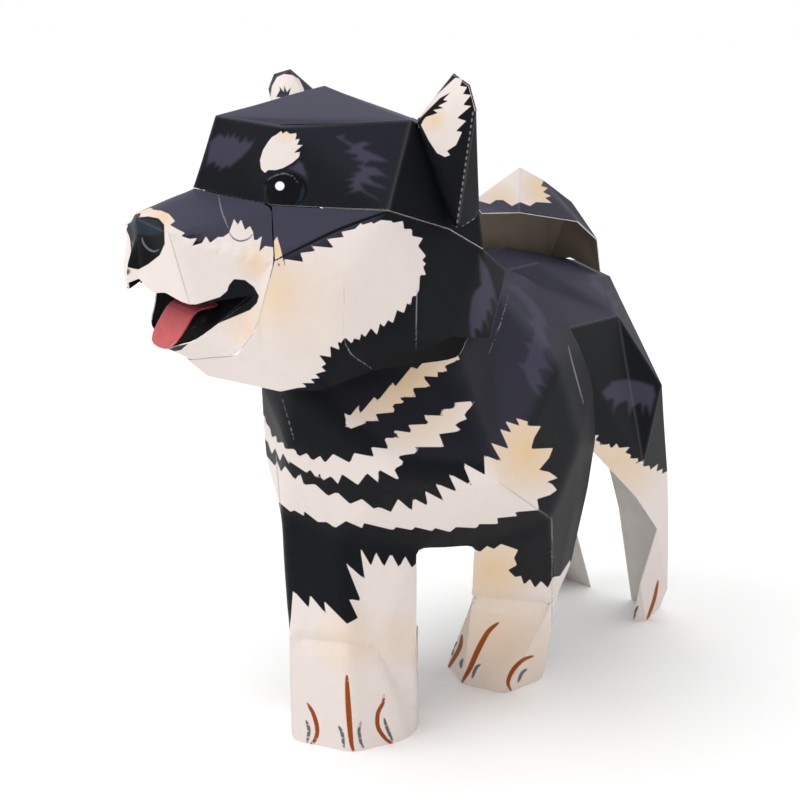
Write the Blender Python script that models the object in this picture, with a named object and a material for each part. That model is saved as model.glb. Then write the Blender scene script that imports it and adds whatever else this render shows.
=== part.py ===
# Papercraft puppy: a card model of a standing dog, put together from printed sheets
# that are cut, scored, folded and glued edge to edge. Every solid is one sheet of card.
# Object frame: the dog heads along -Y, its left is +X, +Z is up, the floor is z = 0.

import math

import bpy
import numpy as np

# Card and seams, in millimetres like every size below
CARD = 0.5
SEAM_GAP = 0.3

# How the three stiff bodies are turned on each other, in degrees, and where they pivot
FRONT_YAW = 20.0
REAR_YAW = -10.0
HEAD_YAW = -25.0
FRONT_PIVOT = (0.42, 1.195)
REAR_PIVOT = (6.32, 8.195)
HEAD_PIVOT = (8.92, -6.505)

# Head
CROWN_HEIGHT = 173.0
CROWN_FRONT_HEIGHT = 167.5
CROWN_FRONT = 68.5
CROWN_TOP = 39.0
FOREHEAD_HALF = 12.5
EAR_BASE_HALF = 30.0
TEMPLE_HALF = 34.0
CHEEK_HALF = 36.5
CHEEK_HEIGHT = 133.0
STOP_FRONT = 75.0
STOP_HEIGHT = 151.5
BROW_HALF = 16.0
BROW_HEIGHT = 148.5
NOSE_FRONT = 90.0
NOSE_HEIGHT = 146.0
SNOUT_HALF = 12.5
LIP_HEIGHT = 131.5
MOUTH_HALF = 22.5
MOUTH_CORNER_HEIGHT = 130.0
CHIN_HEIGHT = 113.5
CHIN_FRONT = 82.0
THROAT_HEIGHT = 107.0
HEAD_BACK = 5.0
EAR_TIP_HEIGHT = 177.5
EAR_TIP_HALF = 36.8
RIGHT_EAR_LEAN = 2.8
EAR_DEPTH = 8.5
TONGUE_HALF = 6.5

# Front body with the fore legs
RING_HEIGHT = 129.0
RING_HALF = 43.6
CHEST_HALF = 34.8
CHEST_FRONT = 40.0
CHEST_BULGE = 61.0
CHEST_HEIGHT = 85.0
RIM_SIDE_HEIGHT = 66.0
RIM_HEIGHT = 57.5
FORE_CREASE_HEIGHT = 31.0
RIGHT_PAW_FRONT = 45.0
LEFT_PAW_FRONT = 4.5

# Rear body with the hind legs and the tail
BACK_HEIGHT = 125.4
BACK_HALF = 11.0
BACK_DROP = 0.28
BACK_BEND = -16.0
RUMP_HEIGHT = 116.5
HOCK_HEIGHT = 35.0
RUMP_BACK = 52.0
HAUNCH_HALF = 35.0
HAUNCH_BACK = 47.0
REAR_TUCK = 3.5
FLANK_CLEAR = 2.2
HIND_PAW_HALF = 20.0
HIND_PAW_BACK = 81.0
TAIL_TOP = 146.5
TAIL_HALF = 12.0


class Body:
    """A stiff body of the dog: its own lateral, forward and up directions."""

    def __init__(self, yaw, pivot):
        angle = math.radians(yaw)
        self.left = np.array([math.cos(angle), math.sin(angle), 0.0])
        self.ahead = np.array([math.sin(angle), -math.cos(angle), 0.0])
        self.pivot = np.array([pivot[0], pivot[1], 0.0])

    def world(self, corner):
        side, ahead, up = corner
        return self.pivot + self.left * side + self.ahead * ahead + np.array([0.0, 0.0, up])


def with_mirror(corners):
    """Adds a right-hand twin, named with _r, for every corner that is off the centre plane."""
    both = dict(corners)
    for name, (side, ahead, up) in corners.items():
        if side:
            both[name + "_r"] = (-side, ahead, up)
    return both


def turn_over(face):
    """The same face run the other way round, from the same first corner."""
    return (face[0], *reversed(face[1:]))


def fan(face):
    """The triangles of a face, all from its first corner."""
    return [(face[0], face[i], face[i + 1]) for i in range(1, len(face) - 1)]


def mirror_faces(faces, corners):
    """The faces of the dog's left with their twins, which run the other way round."""
    twins = []
    for face in faces:
        twin = tuple(name + "_r" if corners[name][0] else name for name in face)
        if set(twin) != set(face):
            twins.append(turn_over(twin))
    return list(faces) + twins


def face_normal(points):
    """Unit normal of a triangle."""
    normal = np.cross(points[1] - points[0], points[2] - points[0])
    return normal / np.linalg.norm(normal)


def solve_offset(directions, amount):
    """The shortest step that goes the given amount along each of the directions."""
    step, *_ = np.linalg.lstsq(np.array(directions), np.full(len(directions), amount), rcond=0.35)
    return step


def seam_edges(faces):
    """Edges used by one face only, in the direction in which that face runs through them."""
    used = {}
    for face in faces:
        for start, end in zip(face, face[1:] + face[:1]):
            used[(start, end)] = face
    return {edge: face for edge, face in used.items() if (edge[1], edge[0]) not in used}


def card_sheets(body, corners, sheets, level=()):
    """Sheets of card that share their corners: each face gets the card's thickness on its inner
    side, and a sheet that meets another along a seam stays half a seam gap back from it. At the
    corners in level, and on the floor, the cut edge stays level."""
    place = {name: body.world(corner) for name, corner in corners.items()}
    sheets = {sheet: [part for face in faces for part in fan(face)] for sheet, faces in sheets.items()}
    every_face = [face for faces in sheets.values() for face in faces]
    normals = {face: face_normal(np.array([place[name] for name in face])) for face in every_face}
    inward = {}
    for name in place:
        around = [normals[face] for face in every_face if name in face]
        if around:
            inward[name] = solve_offset(around, -CARD)
            if place[name][2] == 0.0 or name in level:
                inward[name][2] = 0.0
    outer_rim = set(seam_edges(every_face))
    shells = {}
    for sheet, faces in sheets.items():
        rim = seam_edges(faces)
        pull = {}
        for (start, end), face in rim.items():
            if (start, end) in outer_rim:
                continue
            along = place[end] - place[start]
            along /= np.linalg.norm(along)
            away = np.cross(normals[face], along)
            pull.setdefault(start, []).append(away)
            pull.setdefault(end, []).append(away)
        outer = dict(place)
        for name, directions in pull.items():
            outer[name] = place[name] + solve_offset(directions, SEAM_GAP / 2)
        shells[sheet] = shell_mesh(outer, inward, faces, rim)
    return shells


def shell_mesh(outer, inward, faces, rim):
    """Points and faces of the closed shell: outer side, inner side and the cut edge between."""
    names = sorted({name for face in faces for name in face})
    index = {name: number for number, name in enumerate(names)}
    points = [outer[name] for name in names] + [outer[name] + inward[name] for name in names]
    under = len(names)
    polygons = [[index[name] for name in face] for face in faces]
    polygons += [[index[name] + under for name in turn_over(face)] for face in faces]
    for start, end in rim:
        a, b = index[start], index[end]
        polygons += [[b, a, a + under], [b, a + under, b + under]]
    return points, polygons


def make_material(name, colour, roughness):
    material = bpy.data.materials.new(name)
    material.use_nodes = True
    shader = material.node_tree.nodes["Principled BSDF"]
    shader.inputs["Base Color"].default_value = (*colour, 1.0)
    shader.inputs["Roughness"].default_value = roughness
    shader.inputs["Metallic"].default_value = 0.0
    material.diffuse_color = (*colour, 1.0)
    return material


def make_object(name, shell, colour, roughness=0.6):
    points, polygons = shell
    mesh = bpy.data.meshes.new(name)
    mesh.from_pydata([tuple(point / 1000) for point in points], [], polygons)
    mesh.materials.append(make_material(name + "_card", colour, roughness))
    mesh.update()
    item = bpy.data.objects.new(name, mesh)
    bpy.context.scene.collection.objects.link(item)
    return item


def clear_scene():
    for item in list(bpy.data.objects):
        bpy.data.objects.remove(item, do_unlink=True)


def head_corners():
    """Left half of the head, with the centre plane at side 0."""
    snout_back = STOP_FRONT - 3.0
    corners = with_mirror({
        "crown_front": (0, CROWN_FRONT, CROWN_FRONT_HEIGHT),
        "crown_top": (0, CROWN_TOP, CROWN_HEIGHT),
        "crown_back": (0, HEAD_BACK + 8, CROWN_HEIGHT - 9),
        "nape": (0, HEAD_BACK - 1, BROW_HEIGHT - 14),
        "forehead": (FOREHEAD_HALF, CROWN_FRONT - 10, CROWN_FRONT_HEIGHT - 2),
        "ear_front": (EAR_BASE_HALF, CROWN_TOP - 4, CROWN_FRONT_HEIGHT - 0.5),
        "ear_back": (EAR_BASE_HALF - 1, CROWN_TOP - 22, CROWN_FRONT_HEIGHT - 7.5),
        "stop": (0, STOP_FRONT, STOP_HEIGHT),
        "brow": (BROW_HALF, CROWN_FRONT - 4.8, BROW_HEIGHT),
        "temple": (TEMPLE_HALF, CROWN_TOP + 5, BROW_HEIGHT - 0.7),
        "temple_back": (TEMPLE_HALF, CROWN_TOP - 12, BROW_HEIGHT - 6.5),
        "behind_ear": (TEMPLE_HALF - 1, HEAD_BACK + 11, BROW_HEIGHT - 12.5),
        "recess": (BROW_HALF + 12, CROWN_FRONT + 1.7, BROW_HEIGHT - 10),
        "cheek_front": (CHEEK_HALF - 0.5, CROWN_TOP + 18.4, CHEEK_HEIGHT),
        "cheek_back": (CHEEK_HALF + 0.5, CROWN_TOP - 0.7, CHEEK_HEIGHT),
        "side_back": (TEMPLE_HALF, HEAD_BACK + 14, CHEEK_HEIGHT - 7),
        "nape_side": (CHEEK_HALF - 8.5, HEAD_BACK, CHEEK_HEIGHT - 4),
        "jowl_front": (CHEEK_HALF - 8, CROWN_FRONT + 1.5, CHIN_HEIGHT + 8),
        "cheek_low": (CHEEK_HALF - 0.5, CROWN_TOP + 18, CHIN_HEIGHT + 5.5),
        "jowl_back": (CHEEK_HALF - 0.5, CROWN_TOP - 1, CHIN_HEIGHT + 5.5),
        "throat_front": (0, CHIN_FRONT - 9, THROAT_HEIGHT - 0.5),
        "throat_side": (CHEEK_HALF - 14.5, CROWN_FRONT - 2.5, THROAT_HEIGHT - 0.4),
        "throat_mid": (CHEEK_HALF - 7, CROWN_TOP + 20, THROAT_HEIGHT + 0.4),
        "throat_back": (CHEEK_HALF - 3, CROWN_TOP, THROAT_HEIGHT + 6),
        "neck_edge": (CHEEK_HALF - 3, HEAD_BACK + 20, THROAT_HEIGHT + 9),
        "nape_low": (CHEEK_HALF - 6.5, HEAD_BACK + 6, THROAT_HEIGHT + 6.2),
        "nape_under": (0, HEAD_BACK + 3, RING_HEIGHT - 1),
        "chin_back": (0, CHIN_FRONT - 4, CHIN_HEIGHT - 2.3),
        "jaw_low": (SNOUT_HALF + 5.5, STOP_FRONT, CHIN_HEIGHT + 2),
        "jaw_side": (MOUTH_HALF + 2, STOP_FRONT - 1.5, CHIN_HEIGHT + 9),
        "nose_top": (0, NOSE_FRONT, NOSE_HEIGHT),
        "snout_top": (SNOUT_HALF, NOSE_FRONT - 2.5, NOSE_HEIGHT - 2.2),
        "lip_front": (0, NOSE_FRONT, LIP_HEIGHT + 0.8),
        "lip_side": (SNOUT_HALF + 1, NOSE_FRONT - 6, LIP_HEIGHT - 4),
        "mouth_corner": (MOUTH_HALF, snout_back, MOUTH_CORNER_HEIGHT),
        "lower_lip": (SNOUT_HALF - 1, CHIN_FRONT, CHIN_HEIGHT + 5),
        "chin": (0, CHIN_FRONT + 2, CHIN_HEIGHT + 1),
    })
    # The turned head stands over the shoulder on its right, so its edge is cut higher there.
    corners["nape_low_r"] = (6.5 - CHEEK_HALF, HEAD_BACK + 6, RING_HEIGHT - 4.5)
    return corners


def head_sheets():
    corners = head_corners()
    upper = [
        ("crown_front", "forehead", "ear_front", "crown_top"),
        ("crown_top", "ear_front", "ear_back", "crown_back"),
        ("crown_front", "stop", "brow", "forehead"),
        ("forehead", "brow", "temple", "ear_front"),
        ("ear_front", "temple", "temple_back"),
        ("ear_front", "temple_back", "behind_ear", "ear_back"),
        ("crown_back", "ear_back", "behind_ear", "nape"),
    ]
    lower = [
        ("brow", "recess", "temple"),
        ("recess", "cheek_front", "temple"),
        ("temple", "cheek_front", "cheek_back", "temple_back"),
        ("temple_back", "cheek_back", "side_back", "behind_ear"),
        ("behind_ear", "side_back", "nape_side"),
        ("behind_ear", "nape_side", "nape"),
        ("recess", "jaw_side", "jowl_front", "cheek_front"),
        ("cheek_front", "jowl_front", "cheek_low"),
        ("cheek_front", "cheek_low", "jowl_back", "cheek_back"),
        ("cheek_back", "jowl_back", "neck_edge", "side_back"),
        ("side_back", "neck_edge", "nape_low", "nape_side"),
        ("nape_side", "nape_low", "nape_under", "nape"),
        ("jaw_side", "jaw_low", "throat_side", "jowl_front"),
        ("jowl_front", "throat_side", "throat_mid", "cheek_low"),
        ("cheek_low", "throat_mid", "throat_back", "jowl_back"),
        ("jowl_back", "throat_back", "neck_edge"),
        ("jaw_low", "chin_back", "throat_front", "throat_side"),
    ]
    muzzle = [
        ("stop", "nose_top", "snout_top", "brow"),
        ("nose_top", "lip_front", "lip_side", "snout_top"),
        ("snout_top", "lip_side", "mouth_corner", "recess", "brow"),
        ("mouth_corner", "jaw_side", "recess"),
        ("mouth_corner", "lower_lip", "jaw_low", "jaw_side"),
        ("lower_lip", "chin", "chin_back", "jaw_low"),
    ]
    sheets = {
        "head_upper": mirror_faces(upper, corners),
        "head_lower": mirror_faces(lower, corners),
        "muzzle": mirror_faces(muzzle, corners),
    }
    return card_sheets(Body(HEAD_YAW, HEAD_PIVOT), corners, sheets)


def mouth_sheets():
    """The dark lining folded across the open mouth, and the tongue that lies on it."""
    behind = CARD + SEAM_GAP + 0.1
    corners = with_mirror({
        "roof_front": (0, NOSE_FRONT - behind, LIP_HEIGHT + 1),
        "roof_side": (SNOUT_HALF + 1 - behind, NOSE_FRONT - 6 - behind, LIP_HEIGHT - 3.6),
        "roof_back": (MOUTH_HALF - 2 * behind, STOP_FRONT - 3 - behind, MOUTH_CORNER_HEIGHT),
        "fold": (0, STOP_FRONT - 7, MOUTH_CORNER_HEIGHT - 4),
        "floor_side": (SNOUT_HALF - 1 - 1.5 * behind, CHIN_FRONT - 1.5 * behind, CHIN_HEIGHT + 5.5),
        "floor_front": (0, CHIN_FRONT + 2 - 2.6 * behind, CHIN_HEIGHT + 2),
    })
    lining = mirror_faces([
        ("roof_front", "fold", "roof_back", "roof_side"),
        ("fold", "floor_front", "floor_side", "roof_back"),
    ], corners)
    body = Body(HEAD_YAW, HEAD_PIVOT)
    shells = card_sheets(body, corners, {"mouth_lining": lining})
    tongue = with_mirror({
        "root": (TONGUE_HALF, STOP_FRONT - 2.5, MOUTH_CORNER_HEIGHT - 5),
        "hump": (TONGUE_HALF, STOP_FRONT + 3.7, MOUTH_CORNER_HEIGHT - 5.5),
        "bend": (TONGUE_HALF, CHIN_FRONT + 0.5, CHIN_HEIGHT + 6),
        "tip": (TONGUE_HALF - 1.5, CHIN_FRONT + 3.4, CHIN_HEIGHT + 2.2),
    })
    faces = [
        ("root_r", "hump_r", "hump", "root"),
        ("hump_r", "bend_r", "bend", "hump"),
        ("bend_r", "tip_r", "tip", "bend"),
    ]
    shells.update(card_sheets(body, tongue, {"tongue": faces}))
    return shells


def ear_sheet(side):
    """One ear: a flat front leaf, a narrow outer edge and a back leaf, folded from one sheet.
    It is a horn that is open where it stands on the head."""
    stand = CARD + SEAM_GAP + 0.2
    root = TEMPLE_HALF + stand
    fold = CROWN_TOP - 11.7
    rear = fold - EAR_DEPTH
    lean = 0.0 if side > 0 else RIGHT_EAR_LEAN
    corners = {
        "inner": (EAR_BASE_HALF - 5.5, fold + 1.5, CROWN_FRONT_HEIGHT - 0.5),
        "inner_out": (EAR_BASE_HALF + stand, CROWN_TOP - 5, CROWN_FRONT_HEIGHT - 0.8),
        "tip": (EAR_TIP_HALF - 1.1 * lean, fold + 0.9, EAR_TIP_HEIGHT - lean),
        "shoulder": (EAR_TIP_HALF + 5.4 + 0.3 * lean, fold + 0.4, EAR_TIP_HEIGHT - 2.2 - 0.8 * lean),
        "crest": (EAR_TIP_HALF + 7.4 + lean, fold, EAR_TIP_HEIGHT - 7.5 - 0.35 * lean),
        "low": (root + 2.5, fold, BROW_HEIGHT - 6),
        "low_in": (root + 0.3, fold, BROW_HEIGHT - 5.5),
        "back_low": (root - 0.2, rear, BROW_HEIGHT - 4),
        "back_in": (EAR_BASE_HALF + stand, rear + 0.5, CROWN_FRONT_HEIGHT - 2.5),
        "back_top": (EAR_BASE_HALF - 4, rear + 3.5, CROWN_FRONT_HEIGHT - 0.5),
    }
    faces = [
        ("inner_out", "low_in", "low", "crest", "shoulder", "tip", "inner"),
        ("low", "back_low", "crest"),
        ("back_low", "back_in", "crest"),
        ("back_in", "back_top", "tip", "shoulder", "crest"),
        ("back_top", "inner", "tip"),
    ]
    if side < 0:
        corners = {name: (-x, y, z) for name, (x, y, z) in corners.items()}
        faces = [turn_over(face) for face in faces]
    name = "left_ear" if side > 0 else "right_ear"
    return card_sheets(Body(HEAD_YAW, HEAD_PIVOT), corners, {name: faces})


def front_corners():
    """Corners of the front body. Its rear ring is at ahead 0, and the fore legs differ,
    because the right one steps forward and the left one trails."""
    ring = [
        (15.0, RING_HEIGHT - 4.5),
        (25.0, RING_HEIGHT - 9.0),
        (33.0, RING_HEIGHT - 16.5),
        (RING_HALF - 4.3, RING_HEIGHT - 28.5),
        (RING_HALF - 1.3, RING_HEIGHT - 37.0),
        (RING_HALF, RING_HEIGHT - 52.0),
        (RING_HALF - 1.6, RING_HEIGHT - 66.5),
        (RING_HALF - 5.6, RING_HEIGHT - 89.5),
    ]
    corners = {"ring_0": (0, 0, RING_HEIGHT)}
    for number, (half, height) in enumerate(ring, start=1):
        corners[f"ring_{number}"] = (half, 0, height)
        corners[f"ring_{number}_r"] = (-half, 0, height)
    corners.update({
        "neck_back": (-4, 12, RING_HEIGHT - 3),
        "neck_back_l": (17, 20, RING_HEIGHT - 8),
        "neck_l": (12, 48, RING_HEIGHT - 19),
        "neck_front": (-27, 59, RING_HEIGHT - 24),
        "neck_r": (-37, 49, RING_HEIGHT - 26),
        "neck_back_r": (-30, 14, RING_HEIGHT - 12),
        "shoulder": (34, 22, CHEST_HEIGHT + 18),
        "flank": (40.5, 20, CHEST_HEIGHT - 4),
        "flank_low": (39, 17, RIM_SIDE_HEIGHT - 7),
        "shoulder_r": (-39, 24, CHEST_HEIGHT + 15),
        "flank_r": (-43, 24, CHEST_HEIGHT - 10),
        "flank_low_r": (-39, 20, RIM_SIDE_HEIGHT - 10),
        "chest_l": (23.5, CHEST_BULGE - 4.5, CHEST_HEIGHT - 3),
        "chest": (-1, CHEST_BULGE, CHEST_HEIGHT),
        "chest_r": (-29, CHEST_BULGE - 6, CHEST_HEIGHT + 4),
        "rim_l": (CHEST_HALF, CHEST_FRONT, RIM_SIDE_HEIGHT + 1.5),
        "rim_in_l": (15, CHEST_FRONT - 5, RIM_HEIGHT - 0.5),
        "rim": (1, CHEST_FRONT + 1, RIM_HEIGHT),
        "rim_mid_r": (-17, CHEST_FRONT + 6, RIM_HEIGHT + 3),
        "rim_r": (-CHEST_HALF, CHEST_FRONT, RIM_SIDE_HEIGHT - 1),
    })
    corners.update(right_fore_leg())
    corners.update(left_fore_leg())
    return corners


def right_fore_leg():
    paw = RIGHT_PAW_FRONT
    knee = FORE_CREASE_HEIGHT
    return {
        "r_out_back": (-36, 20, knee),
        "r_out": (-33, CHEST_FRONT + 1, knee - 1),
        "r_mid": (-16, paw + 2, knee),
        "r_ridge": (-9, paw - 3, knee - 0.5),
        "r_in": (-0.5, paw - 13, knee - 4),
        "r_in_back": (-2, paw - 25, knee - 4),
        "r_paw_out_back": (-34.5, 24, 0),
        "r_paw_out": (-33, paw - 4, 0),
        "r_paw_mid": (-15.5, paw, 0),
        "r_paw_ridge": (-3, paw - 9, 0),
        "r_paw_in": (-0.5, paw - 16, 0),
        "r_paw_in_back": (-2, paw - 25, 0),
    }


def left_fore_leg():
    paw = LEFT_PAW_FRONT
    knee = FORE_CREASE_HEIGHT + 5
    return {
        "l_out_back": (34.5, 1, knee - 6),
        "l_out": (35.2, paw + 10.5, knee),
        "l_in": (12.7, paw + 15, knee - 1),
        "l_in_back": (13, paw + 3, knee - 1),
        "l_paw_out_back": (29, paw - 22, 0),
        "l_paw_out": (30.6, paw - 11.5, 0),
        "l_paw_front": (20.7, paw, 0),
        "l_paw_mid": (8, paw - 4, 0),
        "l_paw_in": (1.6, paw - 15.5, 0),
        "l_paw_in_back": (4, paw - 26, 0),
    }


def front_sheet():
    corners = front_corners()
    faces = [
        ("ring_0", "neck_back", "neck_back_l", "ring_1"),
        ("ring_1", "neck_back_l", "ring_2"),
        ("ring_2", "neck_back_l", "shoulder", "ring_3"),
        ("ring_3", "shoulder", "ring_4"),
        ("ring_4", "shoulder", "flank", "ring_5"),
        ("ring_5", "flank", "ring_6"),
        ("ring_6", "flank", "flank_low", "ring_7"),
        ("ring_7", "flank_low", "ring_8"),
        ("neck_back_l", "neck_l", "chest_l", "shoulder"),
        ("shoulder", "chest_l", "flank"),
        ("flank", "chest_l", "rim_l", "flank_low"),
        ("neck_l", "neck_front", "chest", "chest_l"),
        ("neck_front", "chest_r", "chest"),
        ("neck_front", "neck_r", "chest_r"),
        ("chest_l", "chest", "rim", "rim_in_l"),
        ("chest_l", "rim_in_l", "rim_l"),
        ("chest", "chest_r", "rim_mid_r", "rim"),
        ("chest_r", "rim_r", "rim_mid_r"),
        ("neck_r", "shoulder_r", "flank_r", "chest_r"),
        ("chest_r", "flank_r", "rim_r"),
        ("flank_r", "flank_low_r", "rim_r"),
        ("ring_0", "ring_1_r", "neck_back_r", "neck_back"),
        ("ring_1_r", "ring_2_r", "neck_back_r"),
        ("ring_2_r", "ring_3_r", "shoulder_r", "neck_back_r"),
        ("ring_3_r", "ring_4_r", "shoulder_r"),
        ("ring_4_r", "ring_5_r", "flank_r", "shoulder_r"),
        ("ring_5_r", "ring_6_r", "flank_r"),
        ("ring_6_r", "ring_7_r", "flank_low_r", "flank_r"),
        ("ring_7_r", "ring_8_r", "flank_low_r"),
        ("neck_back_r", "shoulder_r", "neck_r"),
        ("ring_8", "flank_low", "l_out", "l_out_back"),
        ("flank_low", "rim_l", "l_out"),
        ("rim_l", "rim_in_l", "l_in", "l_out"),
        ("l_out_back", "l_out", "l_paw_out", "l_paw_out_back"),
        ("l_out", "l_paw_front", "l_paw_out"),
        ("l_out", "l_in", "l_paw_mid", "l_paw_front"),
        ("l_in", "l_paw_in", "l_paw_mid"),
        ("l_in", "l_in_back", "l_paw_in_back", "l_paw_in"),
        ("flank_low_r", "ring_8_r", "r_out_back", "r_out"),
        ("flank_low_r", "r_out", "rim_r"),
        ("rim_r", "r_out", "r_mid", "rim_mid_r"),
        ("rim_mid_r", "r_mid", "r_ridge", "rim"),
        ("rim", "r_ridge", "r_in"),
        ("r_out_back", "r_paw_out_back", "r_paw_out", "r_out"),
        ("r_out", "r_paw_out", "r_paw_mid", "r_mid"),
        ("r_mid", "r_paw_mid", "r_paw_ridge", "r_ridge"),
        ("r_ridge", "r_paw_ridge", "r_paw_in", "r_in"),
        ("r_in", "r_paw_in", "r_paw_in_back", "r_in_back"),
    ]
    return card_sheets(Body(FRONT_YAW, FRONT_PIVOT), corners, {"front_body": faces})


def reach_into_ring(side):
    """How far ahead a lengthwise line of the rear body ends, just inside the front ring."""
    front = Body(FRONT_YAW, FRONT_PIVOT)
    rear = Body(REAR_YAW, REAR_PIVOT)
    start = rear.pivot + rear.left * side - front.pivot
    return (REAR_TUCK - start @ front.ahead) / (rear.ahead @ front.ahead)


def inside_right_ring(half, height):
    """A place just inside the front ring on the dog's right, in the rear body's directions."""
    rear = Body(REAR_YAW, REAR_PIVOT)
    away = Body(FRONT_YAW, FRONT_PIVOT).world((-half, REAR_TUCK, height)) - rear.pivot
    return (away @ rear.left, away @ rear.ahead, height)


def back_height(side, ahead):
    """Height of the back: level up to its bend, then falling to the rump, and lower at the sides."""
    fall = (BACK_HEIGHT - RUMP_HEIGHT) / (RUMP_BACK + BACK_BEND)
    return BACK_HEIGHT - fall * max(0.0, BACK_BEND - ahead) - BACK_DROP * abs(side)


def rear_corners():
    """Corners of the rear body. Its front end slips into the front body's ring."""
    corners = with_mirror({
        "top_front": (0, 0, BACK_HEIGHT),
        "back_front": (BACK_HALF, 0, BACK_HEIGHT - BACK_DROP * BACK_HALF),
        "side_front": (26, 0, BACK_HEIGHT - 18),
        "belly_front": (31, 0, BACK_HEIGHT - 47),
        "top_mid": (0, BACK_BEND, BACK_HEIGHT),
        "back_mid": (BACK_HALF, BACK_BEND, BACK_HEIGHT - BACK_DROP * BACK_HALF),
        "top_back": (0, -RUMP_BACK, back_height(0, -RUMP_BACK)),
        "rump": (BACK_HALF + 1, -RUMP_BACK, back_height(BACK_HALF + 1, -RUMP_BACK)),
        "haunch_top": (24, -RUMP_BACK + 14, RUMP_HEIGHT - 11),
        "haunch": (HAUNCH_HALF - 1, -HAUNCH_BACK, RUMP_HEIGHT - 31.5),
        "crease": (HAUNCH_HALF, -HAUNCH_BACK + 10, RUMP_HEIGHT - 53),
        "flap_edge": (HAUNCH_HALF - 1, -HAUNCH_BACK + 11.5, RUMP_HEIGHT - 62.5),
        "buttock": (HAUNCH_HALF - 4, -HAUNCH_BACK - 11, RUMP_HEIGHT - 61),
        "seat": (0, -RUMP_BACK - 8, RUMP_HEIGHT - 36),
        "hock_front": (HAUNCH_HALF - 3.5, -HAUNCH_BACK - 6, HOCK_HEIGHT + 3.5),
        "hock_back": (HAUNCH_HALF - 6, -HAUNCH_BACK - 17, HOCK_HEIGHT),
        "hock_in": (HIND_PAW_HALF - 10, -HAUNCH_BACK - 19, HOCK_HEIGHT + 2),
        "shin": (HIND_PAW_HALF + 3, -HIND_PAW_BACK + 22, HOCK_HEIGHT - 19),
        "heel_out": (HIND_PAW_HALF + 2.5, -HIND_PAW_BACK + 4, 9),
        "toe": (HIND_PAW_HALF - 2.5, -HIND_PAW_BACK + 16.5, 0),
        "paw_out": (HIND_PAW_HALF + 0.5, -HIND_PAW_BACK + 13.5, 0),
        "paw_back": (HIND_PAW_HALF - 2, -HIND_PAW_BACK, 0),
        "paw_in": (HIND_PAW_HALF - 12, -HIND_PAW_BACK + 1, 0),
    })
    for name, (side, _, up) in corners.items():
        if name.removesuffix("_r") in ("top_front", "back_front", "side_front", "belly_front"):
            corners[name] = (side, reach_into_ring(side), up)
    # the right flank opens out to the ring, which stands clear of it on that side
    for name, half in (("side_front_r", RING_HALF - 7.9), ("belly_front_r", RING_HALF - 0.1)):
        corners[name] = inside_right_ring(half - FLANK_CLEAR, corners[name][2])
    return corners


def rear_sheet():
    corners = rear_corners()
    faces = mirror_faces([
        ("top_front", "back_front", "back_mid", "top_mid"),
        ("top_mid", "back_mid", "rump", "top_back"),
        ("back_front", "side_front", "haunch_top", "back_mid"),
        ("back_mid", "haunch_top", "rump"),
        ("side_front", "belly_front", "crease", "haunch_top"),
        ("haunch_top", "crease", "haunch"),
        ("belly_front", "flap_edge", "crease"),
        ("rump", "haunch_top", "haunch"),
        ("top_back", "rump", "haunch", "buttock", "seat"),
        ("haunch", "crease", "buttock"),
        ("crease", "flap_edge", "hock_front", "buttock"),
        ("buttock", "hock_front", "hock_back"),
        ("buttock", "hock_back", "hock_in", "seat"),
        ("hock_front", "shin", "heel_out", "hock_back"),
        ("shin", "toe", "paw_out", "heel_out"),
        ("heel_out", "paw_out", "paw_back"),
        ("hock_back", "heel_out", "paw_back", "paw_in", "hock_in"),
    ], corners)
    return card_sheets(Body(REAR_YAW, REAR_PIVOT), corners, {"rear_body": faces})


def tail_sheet():
    """The tail curls over the back as a hood that is open below and on the dog's left."""
    far = 2 - TAIL_HALF
    corners = {
        "ridge_0": (-6, -9, TAIL_TOP - 8),
        "ridge_1": (-2, -25, TAIL_TOP),
        "ridge_2": (-1, -35, TAIL_TOP - 4.5),
        "ridge_3": (3, -44, TAIL_TOP - 11.5),
        "rim_0": (1, -3.5, TAIL_TOP - 10),
        "rim_1": (8, -11, TAIL_TOP - 10),
        "rim_2": (TAIL_HALF - 2, -37, TAIL_TOP - 15.5),
        "rim_3": (TAIL_HALF, -44.5, TAIL_TOP - 21.5),
        "foot_0": (far, BACK_BEND, 0),
        "foot_1": (far, -25, 0),
        "foot_2": (far, -38, 0),
        "foot_3": (far + 2, -49, 0),
        "foot_4": (0, -49, 0),
        "foot_5": (TAIL_HALF - 1, -48.5, 0),
    }
    level = [name for name in corners if "foot" in name]
    for name in level:
        side, ahead, _ = corners[name]
        corners[name] = (side, ahead, back_height(side, ahead) + 2 * SEAM_GAP)
    faces = [
        ("ridge_0", "rim_0", "rim_1", "ridge_1"),
        ("ridge_1", "rim_1", "rim_2", "ridge_2"),
        ("ridge_2", "rim_2", "rim_3", "ridge_3"),
        ("ridge_0", "ridge_1", "foot_1", "foot_0"),
        ("ridge_1", "ridge_2", "foot_2", "foot_1"),
        ("ridge_2", "ridge_3", "foot_3", "foot_2"),
        ("ridge_3", "rim_3", "foot_5", "foot_4", "foot_3"),
    ]
    return card_sheets(Body(REAR_YAW, REAR_PIVOT), corners, {"tail": faces}, level)


def main():
    clear_scene()
    black = (0.02, 0.024, 0.03)
    cream = (0.8, 0.72, 0.66)
    rose = (0.62, 0.16, 0.17)
    colours = {
        "head_upper": black,
        "head_lower": cream,
        "muzzle": cream,
        "mouth_lining": black,
        "tongue": rose,
        "left_ear": black,
        "right_ear": black,
        "front_body": black,
        "rear_body": black,
        "tail": black,
    }
    shells = {}
    for made in (
        head_sheets(),
        mouth_sheets(),
        ear_sheet(1),
        ear_sheet(-1),
        front_sheet(),
        rear_sheet(),
        tail_sheet(),
    ):
        shells.update(made)
    for name, colour in colours.items():
        make_object(name, shells[name], colour)


main()
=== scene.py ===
import math

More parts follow.
